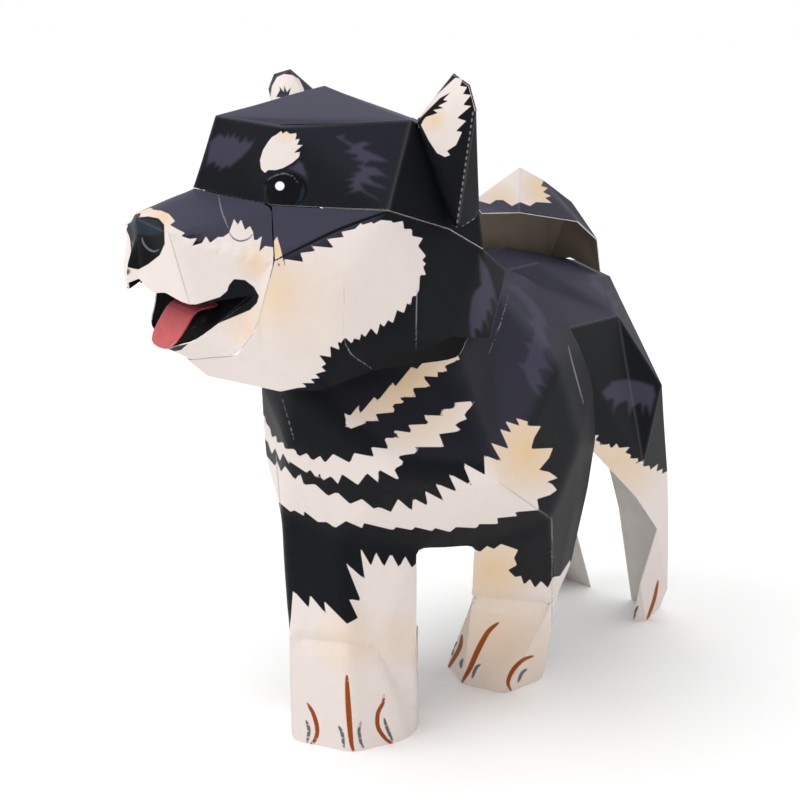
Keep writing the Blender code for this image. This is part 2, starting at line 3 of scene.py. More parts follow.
import bpy
import numpy as np
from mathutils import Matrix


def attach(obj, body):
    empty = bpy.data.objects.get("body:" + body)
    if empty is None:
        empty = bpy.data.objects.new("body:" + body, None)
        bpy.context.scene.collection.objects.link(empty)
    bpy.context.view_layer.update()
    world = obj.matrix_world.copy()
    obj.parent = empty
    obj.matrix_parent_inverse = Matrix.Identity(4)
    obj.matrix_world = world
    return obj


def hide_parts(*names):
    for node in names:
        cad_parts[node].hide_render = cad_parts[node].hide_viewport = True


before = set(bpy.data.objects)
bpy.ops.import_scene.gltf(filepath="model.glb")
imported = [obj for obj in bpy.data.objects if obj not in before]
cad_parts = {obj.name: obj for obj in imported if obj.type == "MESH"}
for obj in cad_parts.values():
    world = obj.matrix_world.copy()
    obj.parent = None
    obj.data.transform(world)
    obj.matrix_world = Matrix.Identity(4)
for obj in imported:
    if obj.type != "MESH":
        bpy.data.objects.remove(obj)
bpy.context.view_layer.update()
print("frame loaded:", len(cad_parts), "sheets of card")

# how the photo was taken: lengths in metres, angles in degrees, focal length and centre in its pixels
photoView = {
    "place": (0.19052, -0.348905, 0.1996),
    "azimuth": 30.0,
    "pitch": 16.0,
    "focal": 1500.0,
    "centre": 400.0,
}

# the three stiff parts of the dog, each with its turn about the vertical and its pivot
stiffParts = {
    "head": {"yaw": -25.0, "pivot": (0.00892, -0.006505)},
    "front": {"yaw": 20.0, "pivot": (0.00042, 0.001195)},
    "rear": {"yaw": -10.0, "pivot": (0.00632, 0.008195)},
}


def partAxes(part):
    # left direction of a stiff part, from its turn about the vertical, and its pivot
    turn = math.radians(stiffParts[part]["yaw"])
    left = np.array([math.cos(turn), math.sin(turn), 0.0])
    return left, np.array([*stiffParts[part]["pivot"], 0.0])


def ontoLeft(points, part):
    # a point right of the part's centre plane goes to its mirror place on the left
    left, pivot = partAxes(part)
    side = (points - pivot) @ left
    return points + np.outer(np.abs(side) - side, left)


def viewAxes():
    # the photo's rightward direction, its line of sight and its downward direction
    azimuth = math.radians(photoView["azimuth"])
    pitch = math.radians(photoView["pitch"])
    level = np.array([-math.sin(azimuth), math.cos(azimuth), 0.0])
    right = np.array([math.cos(azimuth), math.sin(azimuth), 0.0])
    up = np.array([0.0, 0.0, 1.0])
    sight = level * math.cos(pitch) - up * math.sin(pitch)
    down = -level * math.sin(pitch) - up * math.cos(pitch)
    return right, sight, down


def photoPoint(points):
    # pixel of a point: its sideways and downward distance over its depth, times the focal length
    right, depth, down = viewAxes()
    away = points - np.array(photoView["place"])
    scale = photoView["focal"] / (away @ depth)
    return np.stack([away @ right, away @ down], axis=1) * scale[:, None] + photoView["centre"]


def segmentDistance(where, start, end):
    # distance to a straight piece: the foot of the perpendicular, held between the two ends
    start, end = np.asarray(start, float), np.asarray(end, float)
    along = end - start
    share = np.clip((where - start) @ along / max(along @ along, 1e-12), 0.0, 1.0)
    return np.linalg.norm(where - start - share[:, None] * along, axis=1)


# how the print is drawn, lengths in pixels
penLook = {
    "farAway": -60.0,  # stands for "well outside"
    "reach": 12,  # how far round an outline its distance is worked out
    "bluntEnd": 0.02,  # share of a stroke that its ends are cut back by
    "taper": 0.3,
    "toothWobble": 0.3,
    "toothRhythm": 2.4,
    "toothLength": 0.8,
    "blobFade": 0.7,
    # painted sheen: black that faces up is painted lighter, standing in for the light that falls on it
    "paintedSheenFrom": 0.3,  # upward share of a normal at which the sheen starts, and over which it grows
    "paintedSheenOver": 0.6,
}


def insideShape(where, outline):
    # signed distance in pixels, positive inside: nearest edge, with the sign from the crossing count
    outline = np.asarray(outline, float)
    low, high = outline.min(axis=0) - penLook["reach"], outline.max(axis=0) + penLook["reach"]
    near = np.all((where > low) & (where < high), axis=1)
    value = np.full(len(where), penLook["farAway"])
    spot = where[near]
    gap = np.full(len(spot), 1e9)
    crossings = np.zeros(len(spot), int)
    for start, end in zip(outline, np.roll(outline, -1, axis=0)):
        gap = np.minimum(gap, segmentDistance(spot, start, end))
        if start[1] != end[1]:
            level = (spot[:, 1] > start[1]) != (spot[:, 1] > end[1])
            meets = start[0] + (spot[:, 1] - start[1]) * (end[0] - start[0]) / (end[1] - start[1])
            crossings += level & (spot[:, 0] < meets)
    value[near] = np.where(crossings % 2 == 1, gap, -gap)
    return value


def insideStroke(where, line, width):
    # signed distance of a pen stroke that narrows to a point at both ends
    line = np.asarray(line, float)
    lengths = np.linalg.norm(np.diff(line, axis=0), axis=1)
    total, done = lengths.sum(), 0.0
    value = np.full(len(where), penLook["farAway"])
    for start, end, length in zip(line[:-1], line[1:], lengths):
        along = (end - start) / length
        share = np.clip((where - start) @ along, 0.0, length)
        gap = np.linalg.norm(where - start - share[:, None] * along, axis=1)
        place = np.clip((done + share) / total, penLook["bluntEnd"], 1.0 - penLook["bluntEnd"])
        taper = np.sin(np.pi * place) ** penLook["taper"]
        value = np.maximum(value, width / 2 * taper - gap)
        done += length
    return value


def dashes(line, pitch=6.4, part=0.55):
    # short straight pieces along a line, as a perforating wheel leaves them
    pieces = []
    for start, end in zip(np.asarray(line[:-1], float), np.asarray(line[1:], float)):
        length = np.linalg.norm(end - start)
        for step in np.arange(0.0, length, pitch):
            stop = min(step + pitch * part, length)
            pieces.append([start + (end - start) * step / length, start + (end - start) * stop / length])
    return pieces


def fur(line, pitch=9.0, depth=8.0, lean=0.35):
    # a drawn fur edge: teeth along a line, on the left of the way it runs, tips pushed forward by lean
    line = np.asarray(line, float)
    edge = [tuple(line[0])]
    count = 0
    for start, end in zip(line[:-1], line[1:]):
        length = np.linalg.norm(end - start)
        along = (end - start) / length
        out = np.array([along[1], -along[0]])
        teeth = max(1, round(length / pitch))
        for tooth in range(teeth):
            count += 1
            wobble = math.sin(count * penLook["toothRhythm"]) * penLook["toothWobble"]
            tip = start + along * length * (tooth + 0.5 + lean + wobble * penLook["toothWobble"]) / teeth
            edge.append(tuple(tip + out * depth * (penLook["toothLength"] + wobble)))
            edge.append(tuple(start + along * length * (tooth + 1) / teeth))
    return edge


def blobs(where, spots):
    # soft round areas: each fades from its strength at the centre to nothing at its radius
    value = np.zeros(len(where))
    for x, y, radius, strength in spots:
        gap = np.hypot(where[:, 0] - x, where[:, 1] - y) / radius
        value = np.maximum(value, strength * np.clip(1.0 - gap, 0.0, 1.0) ** penLook["blobFade"])
    return value


print("drawing tools ready")

# the card itself, lengths in metres
cardLook = {
    "thickness": 0.00032,
    "weldReach": 0.00001,
    "groupRounds": 200,  # most passes that finding the two patches may take
    "widestEdge": 0.00145,  # a triangle with a side shorter than this lies on the cut edge
    "coarseGrain": 0.0026,
    "curveRounds": 24,  # rounds of relaxing on the coarse mesh, then on the fine one
    "fineRounds": 8,
    "stepIn": 0.55,
    "stepOut": -0.53,
    "foldReach": 0.0008,
    "foldHold": 0.35,
    "foldWidth": 0.00035,
    "halfFade": 0.0015,  # a pull on one half of the head starts this softly at its centre plane
    "warp": 0.00012,
    "waves": ((151.0, 93.0, 117.0), (-61.0, 139.0, 83.0)),
}


def weld(mesh):
    # points of the frame's loose triangles joined where they meet, to a hundredth of a millimetre
    count = len(mesh.vertices)
    points = np.empty(count * 3)
    mesh.vertices.foreach_get("co", points)
    points = points.reshape(-1, 3)
    mesh.calc_loop_triangles()
    faces = np.empty(len(mesh.loop_triangles) * 3, int)
    mesh.loop_triangles.foreach_get("vertices", faces)
    steps = np.round(points / cardLook["weldReach"])
    _, first, index = np.unique(steps, axis=0, return_index=True, return_inverse=True)
    faces = index.reshape(-1)[faces].reshape(-1, 3)
    whole = (faces[:, 0] != faces[:, 1]) & (faces[:, 1] != faces[:, 2]) & (faces[:, 2] != faces[:, 0])
    return points[first], faces[whole]


def outerSide(points, faces):
    # the printed side of a sheet: the cut edge's short triangles are dropped, and of the two
    # patches left the larger is the outside, because folds turn inwards
    corners = points[faces]
    sides = np.linalg.norm(corners - np.roll(corners, -1, axis=1), axis=2)
    kept = faces[sides.min(axis=1) > cardLook["widestEdge"]]
    group = np.arange(len(points))
    for _ in range(cardLook["groupRounds"]):
        lowest = group[kept].min(axis=1)
        before = group.copy()
        np.minimum.at(group, kept.reshape(-1), np.repeat(lowest, 3))
        if (group == before).all():
            break
    corners = points[kept]
    areas = np.linalg.norm(np.cross(corners[:, 1] - corners[:, 0], corners[:, 2] - corners[:, 0]), axis=1) / 2
    total = np.bincount(group[kept[:, 0]], weights=areas, minlength=len(points))
    patch = kept[group[kept[:, 0]] == total.argmax()]
    used, index = np.unique(patch, return_inverse=True)
    return points[used], index.reshape(-1, 3)


def edgesOf(faces):
    # every edge once, with the edge numbers of each triangle's three sides
    pairs = np.sort(np.stack([faces, np.roll(faces, -1, axis=1)], axis=2).reshape(-1, 2), axis=1)
    most = int(faces.max()) + 1
    keys, index = np.unique(pairs[:, 0] * most + pairs[:, 1], return_inverse=True)
    return np.stack([keys // most, keys % most], axis=1), index.reshape(-1, 3)


def refine(points, faces, limit):
    # edges longer than the limit are halved, and a triangle with any halved edge also has its
    # longest one halved, so that the triangles stay well shaped and always share whole edges
    while True:
        edges, sides = edgesOf(faces)
        lengths = np.linalg.norm(points[edges[:, 0]] - points[edges[:, 1]], axis=1)
        split = lengths > limit
        if not split.any():
            return points, faces
        longest = np.take_along_axis(sides, lengths[sides].argmax(axis=1)[:, None], axis=1)[:, 0]
        while True:
            need = split[sides].any(axis=1) & ~split[longest]
            if not need.any():
                break
            split[longest[need]] = True
        number = np.full(len(edges), -1)
        number[split] = len(points) + np.arange(split.sum())
        points = np.vstack([points, points[edges[split]].mean(axis=1)])
        middles = number[sides]
        count = (middles >= 0).sum(axis=1)
        made = [faces[count == 0]]
        one = count == 1
        turn = np.argmax(middles[one] >= 0, axis=1)
        a, b, c = turned(faces[one], turn)
        m = middles[one][np.arange(one.sum()), turn]
        made += [np.stack([a, m, c], axis=1), np.stack([m, b, c], axis=1)]
        two = count == 2
        turn = (np.argmin(middles[two], axis=1) + 1) % 3
        a, b, c = turned(faces[two], turn)
        m, n, _ = turned(middles[two], turn)
        made += [np.stack(corner, axis=1) for corner in ((m, b, n), (a, m, n), (a, n, c))]
        a, b, c = faces[count == 3].T
        m, n, o = middles[count == 3].T
        made += [np.stack(corner, axis=1) for corner in ((a, m, o), (m, b, n), (o, n, c), (m, n, o))]
        faces = np.vstack(made)


def turned(rows, turn):
    # the three columns of each row, starting from its own turn
    order = (turn[:, None] + np.arange(3)) % 3
    return np.take_along_axis(rows, order, axis=1).T


def foldLines(points, faces, angle):
    # edges between two triangles that meet at more than the angle, in degrees
    corners = points[faces]
    normals = np.cross(corners[:, 1] - corners[:, 0], corners[:, 2] - corners[:, 0])
    normals /= np.linalg.norm(normals, axis=1)[:, None]
    edges, sides = edgesOf(faces)
    count = np.bincount(sides.reshape(-1), minlength=len(edges))
    order = np.argsort(sides.reshape(-1), kind="stable")
    first = np.cumsum(count) - count
    paired = np.nonzero(count == 2)[0]
    one = normals[order[first[paired]] // 3]
    other = normals[order[first[paired] + 1] // 3]
    sharp = np.einsum("ij,ij->i", one, other) < math.cos(math.radians(angle))
    return points[edges[paired[sharp]]], edges[count == 1]


def relax(points, edges, hold, share):
    # a point moves part of the way to the mean of those it shares an edge with, less where it is held
    ends = np.concatenate([edges, edges[:, ::-1]])
    count = np.maximum(np.bincount(ends[:, 0], minlength=len(points)), 1)
    mean = np.stack([np.bincount(ends[:, 0], weights=points[ends[:, 1], k], minlength=len(points))
                     for k in range(3)], axis=1) / count[:, None]
    return points + (mean - points) * (share * hold)[:, None]


def pointNormals(points, faces):
    # each point's normal: the sum of its triangles' cross products, brought to length one
    corners = points[faces]
    across = np.cross(corners[:, 1] - corners[:, 0], corners[:, 2] - corners[:, 0])
    total = np.zeros_like(points)
    for k in range(3):
        np.add.at(total, faces[:, k], across)
    return total / np.maximum(np.linalg.norm(total, axis=1), 1e-12)[:, None]


def layer(where, shapes):
    # one printed colour: of its filled outlines and pen strokes, the greatest signed distance
    value = np.full(len(where), penLook["farAway"])
    for shape in shapes:
        if "line" in shape:
            value = np.maximum(value, insideStroke(where, shape["line"], shape["width"]))
        else:
            value = np.maximum(value, insideShape(where, shape["fill"]))
    return value


def sheetOfCard(name, look):
    # the outer side of the CAD sheet in small triangles, its broad curves relaxed and its folds
    # kept crisp, an inner side one card thickness behind it, and the cut edge that joins the two
    points, faces = outerSide(*weld(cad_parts[name].data))
    folds, _ = foldLines(points, faces, look["foldAngle"])
    # first the broad curves on a coarse mesh, then the fine mesh that carries the print
    stages = ((cardLook["coarseGrain"], cardLook["curveRounds"]), (look["grain"], cardLook["fineRounds"]))
    for grain, rounds in stages:
        points, faces = refine(points, faces, grain)
        _, border = foldLines(points, faces, 180.0)
        foldGap = np.full(len(points), 1.0)
        for start, end in folds:
            foldGap = np.minimum(foldGap, segmentDistance(points, start, end))
        hold = np.ones(len(points))
        hold[np.unique(border)] = 0.0
        free = hold * np.clip(foldGap / cardLook["foldReach"] - cardLook["foldHold"], 0.0, 1.0)
        edges, _ = edgesOf(faces)
        # a step out follows each step in, so that rounded forms keep their size
        for _ in range(look.get("borderRounds", 0) if grain > look["grain"] else 0):
            points = relax(points, border, 1.0 - hold, cardLook["stepIn"])
            points = relax(points, border, 1.0 - hold, cardLook["stepOut"])
        for _ in range(rounds):
            points = relax(points, edges, free, cardLook["stepIn"])
            points = relax(points, edges, free, cardLook["stepOut"])
    points = pulled(points, faces, look)
    normals = pointNormals(points, faces)
    points = points - normals * creases(points, normals, look)[:, None]
    wave = np.prod([np.sin(points @ np.array(along)) for along in cardLook["waves"]], axis=0)
    points = points + normals * (wave * cardLook["warp"] * hold)[:, None]
    inner = points - normals * cardLook["thickness"]
    count = len(points)
    # each border edge is run the way its triangle runs it, and the edge strip the other way
    borderKey = set(map(tuple, border))
    sides = np.stack([faces, np.roll(faces, -1, axis=1)], axis=2).reshape(-1, 2)
    ordered = np.sort(sides, axis=1)
    keys = ordered[:, 0] * count + ordered[:, 1]
    rim = sides[np.isin(keys, [a * count + b for a, b in borderKey])]
    strip = np.stack([rim[:, 1], rim[:, 0], rim[:, 0] + count, rim[:, 1] + count], axis=1)
    mesh = bpy.data.meshes.new(name + "_card")
    mesh.from_pydata(np.vstack([points, inner]).tolist(), [],
                     faces.tolist() + (faces[:, ::-1] + count).tolist() + strip.tolist())
    # the inner side is bare, or painted shade between two heights where the insides lie in shade, and the
    # edge strip is white paper
    height = points[faces].mean(axis=1)[:, 2]
    lowest, highest = look.get("shadeInside", (1.0, 1.0))
    shadeInside = (height > lowest) & (height < highest)
    slots = np.concatenate([np.zeros(len(faces), int), np.where(shadeInside, 3, 1), np.full(len(strip), 2)])
    mesh.polygons.foreach_set("material_index", slots)
    mesh.attributes.new("sharp_face", "BOOLEAN", "FACE").data.foreach_set("value", slots == 2)
    paint(mesh, points, normals, foldGap, look)
    mesh.update()
    piece = bpy.data.objects.new(name + "_card", mesh)
    bpy.context.scene.collection.objects.link(piece)
    for material in (look["print"], look.get("inside", bareCard), look.get("edge", cutEdge), paintedShadeCard):
        mesh.materials.append(material)
    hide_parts(name)
    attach(piece, "root")
    print(name, "made of", len(faces), "printed triangles")
    return piece


def pulled(points, faces, look):
    # a place of the sheet drawn towards another, in pixels, fading out to its radius; a pull works
    # on the left half (1), the right half (-1) or both halves (0) of the head
    right, depth, down = viewAxes()
    left, pivot = partAxes("head")
    for spot, radius, move, half in look.get("pulls", []):
        where = photoPoint(points)
        gap = np.hypot(*(where - np.array(spot, float)).T) / radius
        side = np.clip(((points - pivot) @ left) * half / cardLook["halfFade"], 0.0, 1.0) if half else 1.0
        share = np.clip(1.0 - gap ** 2, 0.0, 1.0) ** 2 * side
        scale = (points - np.array(photoView["place"])) @ depth / photoView["focal"]
        points = points + (share * scale)[:, None] * (move[0] * right + move[1] * down)
    return points


def creases(points, normals, look):
    # how far each point is pressed in: deepest on the line of a crease, fading to each side of it
    depth = np.zeros(len(points))
    where = photoPoint(points)
    toCamera = np.einsum("ij,ij->i", normals, np.array(photoView["place"]) - points) > 0
    for start, end, reach, deep in look.get("creases", []):
        gap = segmentDistance(where, start, end) / reach
        depth = np.maximum(depth, deep * np.clip(1.0 - gap, 0.0, 1.0) ** 1.5 * toCamera)
    return depth


def paint(mesh, points, normals, foldGap, look):
    # every printed colour is a signed distance at the points, in pixels, cut sharp by the material; the same
    # lists also carry painted shadow lines and painted highlights, and the painted sheen, tan shade and fold
    # highlight are worked out here too
    seen = points
    if look.get("mirror"):
        part, lowest = look["mirror"]
        mirrored = ontoLeft(points, part)
        toCamera = np.einsum("ij,ij->i", normals, np.array(photoView["place"]) - points)
        use = points[:, 2] >= lowest
        if look.get("hiddenOnly"):
            use &= toCamera < 0
        seen = np.where(use[:, None], mirrored, points)
    where = photoPoint(seen)
    hidden = np.einsum("ij,ij->i", normals, np.array(photoView["place"]) - points) < 0
    dark = layer(where, look["inks"].get("ink", []))
    for ink in inkNames:
        value = layer(where, look["inks"].get(ink, []))
        if ink == "cream":
            value = np.minimum(value, -dark)
        if ink in look.get("frontOnly", ()):
            value[hidden] = penLook["farAway"]
        write(mesh, ink, value)
    # cream turned tan in soft round areas: tan tint in the print, and painted shade on the paws, the lower
    # parts and by the creases
    write(mesh, "tanTintAndShade", blobs(where, look.get("tanTintAndShade", [])))
    # painted sheen: the black is painted lighter where the normal points up
    write(mesh, "paintedSheen", np.clip((normals[:, 2] - penLook["paintedSheenFrom"]) / penLook["paintedSheenOver"], 0.0, 1.0))
    # a paler line along each fold: the print worn through at the fold, and a painted highlight
    write(mesh, "fold", np.exp(-(foldGap / cardLook["foldWidth"]) ** 2))


def write(mesh, name, value):
    # the inner side takes the same values, for the sheets that are printed on both sides
    data = np.tile(np.asarray(value, np.float32), 2)
    mesh.attributes.new(name, "FLOAT", "POINT").data.foreach_set("value", data)


# the print inks; hairAndHighlight, black, grey, rose and score also carry painted highlights and painted
# shadow lines
inkNames = ("hairAndHighlight", "cream", "black", "slate", "grey", "brown", "rose", "white", "score")
print("card tools ready")

# ink colours as they print, with the colours of the painted sheen, highlights and shade among them, each red,
# green and blue from 0 to 255
inkColours = {
    "base": (12, 14, 19),
    # purple-grey on the black: printed hair strokes, and a painted highlight on the forehead
    "hairAndHighlight": (72, 69, 88),
    # the colour of the painted sheen on black that faces up
    "paintedSheen": (82, 80, 100),
    "cream": (217, 206, 201),
    # tan of the print, also used as painted shade on the cream
    "tanTintAndShadeColour": (218, 186, 140),
    "black": (3, 4, 6),
    "slate": (21, 34, 44),
    "grey": (92, 94, 100),
    "brown": (140, 66, 18),
    "rose": (222, 128, 132),
    "white": (246, 246, 250),
    "score": (150, 147, 150),
    "tongue": (196, 92, 96),
    "bare": (206, 201, 196),
    "shaded": (128, 114, 99),
    "edge": (226, 222, 218),
}


def linear(name):
    share = np.array(inkColours[name]) / 255.0
    return (*np.where(share <= 0.04045, share / 12.92, ((share + 0.055) / 1.055) ** 2.4), 1.0)


# the fine bump of card
toothLook = {
    "scale": 2600.0,
    "distance": 0.0002,
}


class Nodes:
    # shorthand for wiring a material
    def __init__(self, name):
        self.material = bpy.data.materials.new(name)
        self.material.use_nodes = True
        self.tree = self.material.node_tree
        self.shader = self.tree.nodes["Principled BSDF"]

    def add(self, kind, **values):
        node = self.tree.nodes.new(kind)
        for key, value in values.items():
            setattr(node, key, value)
        return node

    def join(self, source, target):
        self.tree.links.new(source, target)

    def reading(self, name):
        return self.add("ShaderNodeAttribute", attribute_name=name).outputs["Fac"]

    def cut(self, source, low, high):
        node = self.add("ShaderNodeMapRange", interpolation_type="SMOOTHSTEP")
        self.join(source, node.inputs["Value"])
        node.inputs["From Min"].default_value = low
        node.inputs["From Max"].default_value = high
        return node.outputs["Result"]

    def blend(self, share, below, above, amount=1.0, kind="MIX"):
        if amount < 1.0:
            node = self.add("ShaderNodeMath", operation="MULTIPLY")
            self.join(share, node.inputs[0])
            node.inputs[1].default_value = amount
            share = node.outputs[0]
        node = self.add("ShaderNodeMix", data_type="RGBA", blend_type=kind)
        self.join(share, node.inputs["Factor"])
        for value, socket in ((below, node.inputs[6]), (above, node.inputs[7])):
            if isinstance(value, tuple):
                socket.default_value = value
            else:
                self.join(value, socket)
        return node.outputs[2]

    def noise(self, scale, detail=3.0):
        node = self.add("ShaderNodeTexNoise")
        self.join(self.add("ShaderNodeTexCoord").outputs["Object"], node.inputs["Vector"])
        node.inputs["Scale"].default_value = scale
        node.inputs["Detail"].default_value = detail
        return node.outputs["Fac"]

    def fibres(self, strength):
        # the tooth of card: fine noise, as bump
        bump = self.add("ShaderNodeBump")
        bump.inputs["Strength"].default_value = strength
        bump.inputs["Distance"].default_value = toothLook["distance"]
        self.join(self.noise(toothLook["scale"]), bump.inputs["Height"])
        self.join(bump.outputs["Normal"], self.shader.inputs["Normal"])


# how strongly each ink covers the card, and how many pixels its edge takes; the painted sheen, highlights and
# shade among them
printLook = {
    "mottle": (420.0, 5.0),
    "mottleDark": 0.86,
    "creamMottle": (0.93, 0.93, 0.93, 1.0),
    "creamMottleShare": 0.3,
    "paintedSheen": 0.55,
    "hairAndHighlight": 0.6,
    "hairAndHighlightEdge": (-0.8, 4.0),
    "creamEdge": 0.45,
    "edges": {"black": 0.45, "slate": 1.2, "grey": 0.6, "brown": 0.5, "rose": 1.0, "white": 0.6},
    "score": 0.6,
    "scoreEdge": 0.5,
    # the paler fold line: wear, and a painted highlight
    "fold": 0.11,
    "specular": 0.09,
    "tooth": 0.25,
}


def printedCard(name, base, roughness):
    # the base ink with its painted sheen, then each printed colour over it where its signed distance is above
    # zero; the cream turns tan for tint and painted shade, and the folds get a paler line with a painted
    # highlight
    nodes = Nodes(name)
    mottle = nodes.cut(nodes.noise(*printLook["mottle"]), 0.35, 0.75)
    darker = tuple(printLook["mottleDark"] * value for value in linear(base)[:3]) + (1.0,)
    colour = nodes.blend(mottle, linear(base), darker)
    # painted sheen over the black where it faces up
    if base == "base":
        colour = nodes.blend(nodes.reading("paintedSheen"), colour, linear("paintedSheen"), printLook["paintedSheen"])
    # purple-grey patches: printed hair strokes, and a painted highlight on the forehead
    hairAndHighlight = nodes.cut(nodes.reading("hairAndHighlight"), *printLook["hairAndHighlightEdge"])
    colour = nodes.blend(hairAndHighlight, colour, linear("hairAndHighlight"), printLook["hairAndHighlight"])
    # the cream turns tan: printed tint, and painted shade
    pale = nodes.blend(nodes.reading("tanTintAndShade"), linear("cream"), linear("tanTintAndShadeColour"))
    palest = nodes.blend(mottle, pale, printLook["creamMottle"], printLook["creamMottleShare"], "MULTIPLY")
    creamEdge = printLook["creamEdge"]
    colour = nodes.blend(nodes.cut(nodes.reading("cream"), -creamEdge, creamEdge), colour, palest)
    for ink, soft in printLook["edges"].items():
        colour = nodes.blend(nodes.cut(nodes.reading(ink), -soft, soft), colour, linear(ink))
    scored = nodes.cut(nodes.reading("score"), -printLook["scoreEdge"], printLook["scoreEdge"])
    colour = nodes.blend(scored, colour, linear("score"), printLook["score"])
    # paler line along the folds: worn print and a painted highlight
    colour = nodes.blend(nodes.reading("fold"), colour, linear("score"), printLook["fold"])
    nodes.join(colour, nodes.shader.inputs["Base Color"])
    nodes.shader.inputs["Roughness"].default_value = roughness
    nodes.shader.inputs["Specular IOR Level"].default_value = printLook["specular"]
    nodes.fibres(printLook["tooth"])
    return nodes.material


plainLook = {
    "mottle": (300.0, 4.0),
    "mottleDark": 0.93,
    "tooth": 0.35,
}


def plainCard(name, colour, roughness):
    nodes = Nodes(name)
    mottle = nodes.cut(nodes.noise(*plainLook["mottle"]), 0.3, 0.8)
    darker = tuple(plainLook["mottleDark"] * value for value in linear(colour)[:3]) + (1.0,)
    nodes.join(nodes.blend(mottle, linear(colour), darker), nodes.shader.inputs["Base Color"])
    nodes.shader.inputs["Roughness"].default_value = roughness
    nodes.fibres(plainLook["tooth"])
    return nodes.material


blackPrint = printedCard("black_print", "base", 0.5)
palePrint = printedCard("cream_print", "base", 0.5)
tonguePrint = printedCard("tongue_print", "tongue", 0.42)
bareCard = plainCard("bare_card", "bare", 0.8)
# painted shade: black card for the insides and edges that lie in shade
paintedShadeCard = plainCard("painted_shade_card", "base", 0.7)
shadedCard = plainCard("shaded_card", "shaded", 0.8)
cutEdge = plainCard("cut_edge", "edge", 0.85)
print("card finishes ready")


def fills(*outlines):
    return [{"fill": outline} for outline in outlines]


def curve(line):
    # a smooth pen line: each stretch is a cubic through its ends, with slopes from their neighbours
    line = np.asarray(line, float)
    if len(line) < 3:
        return line
    padded = np.vstack([2 * line[0] - line[1], line, 2 * line[-1] - line[-2]])
    t = np.linspace(0.0, 1.0, 5)[:-1, None]
    made = []
    for a, b, c, d in zip(padded, padded[1:], padded[2:], padded[3:]):
        made.append(b + 0.5 * t * (c - a + t * (2 * a - 5 * b + 4 * c - d + t * (3 * b - a - 3 * c + d))))
    return np.vstack(made + [line[-1:]])


def strokes(width, *lines):
    return [{"line": curve(line), "width": width} for line in lines]


def oval(x, y, across, down):
    turns = np.linspace(0.0, 2 * np.pi, 28, endpoint=False)
    return [(x + across * math.cos(t), y + down * math.sin(t)) for t in turns]


wholeView = [(-900, -900), (1700, -900), (1700, 1700), (-900, 1700)]

headUpperLook = {
    "slot": "black_card",
    "print": blackPrint,
    "foldAngle": 20.0,
    "grain": 0.00075,
    "mirror": ("head", -1.0),
    "inks": {
        # the first patch, on the forehead, is a painted highlight
        "hairAndHighlight": fills(
            [(206, 158), (209, 141), (217, 134), (222, 132), (224, 136), (229, 131), (230, 136), (236, 130),
             (236, 137), (241, 134), (240, 141), (248, 134), (248, 141), (256, 138), (252, 148), (243, 158),
             (234, 165), (226, 172), (228, 167), (217, 173), (219, 167), (213, 168), (214, 163), (205, 168)],
            [(332, 136), (342, 134), (347, 130), (345, 138), (354, 143), (363, 140), (375, 143), (364, 148),
             (380, 155), (393, 163), (381, 163), (370, 162), (366, 165), (376, 166), (384, 172), (394, 180),
             (382, 177), (370, 177), (374, 181), (385, 186), (391, 191), (380, 189), (368, 186), (362, 184),
             (366, 190), (376, 196), (385, 205), (372, 198), (360, 192), (350, 194), (338, 198), (352, 189),
             (345, 187), (352, 182), (343, 180), (354, 176), (347, 174), (360, 170), (354, 166), (362, 163),
             (348, 159), (356, 156), (340, 152), (350, 148), (345, 144)],
            [(285, 169), (294, 164), (298, 159), (304, 163), (306, 170), (312, 179), (307, 175), (311, 187),
             (304, 178), (296, 173)],
        ) + strokes(3, [(355, 114), (378, 110), (396, 118)], [(340, 106), (356, 109), (372, 116)]),
        "cream": fills(
            [(281, 131), (283, 134), (286, 131), (290, 134), (297, 133), (295, 140), (300, 138), (297, 145),
             (303, 145), (298, 149), (293, 153), (300, 152), (299, 157), (292, 163), (283, 168), (276, 170),
             (268, 170), (265, 173), (261, 169), (260, 160), (263, 150), (268, 142), (272, 137), (276, 135)],
        ),
        # the stroke along the crown's fold is a painted shadow line; the oval is the printed eye
        "black": fills(oval(285, 190, 22.5, 18)) + strokes(2.2, [(280, 125), (345, 124), (412, 121)]),
        "slate": fills(
            [(263, 186), (267, 184), (266, 196), (269, 203), (264, 199)],
            [(303, 184), (305, 191), (302, 200), (294, 206), (299, 199), (301, 191)],
        ),
        "grey": strokes(1.6, [(266, 182), (272, 177), (283, 173.5), (292, 176), (298, 182.7)]),
        "white": fills(oval(279.8, 186, 4.6, 4.4)),
        "score": strokes(1.6, *dashes([(193, 188), (265, 208)], 6.4, 0.35))
        + strokes(1.4, [(269, 210), (387, 209)]),
    },
    "tanTintAndShade": [(285, 129, 16, 0.6)],
}

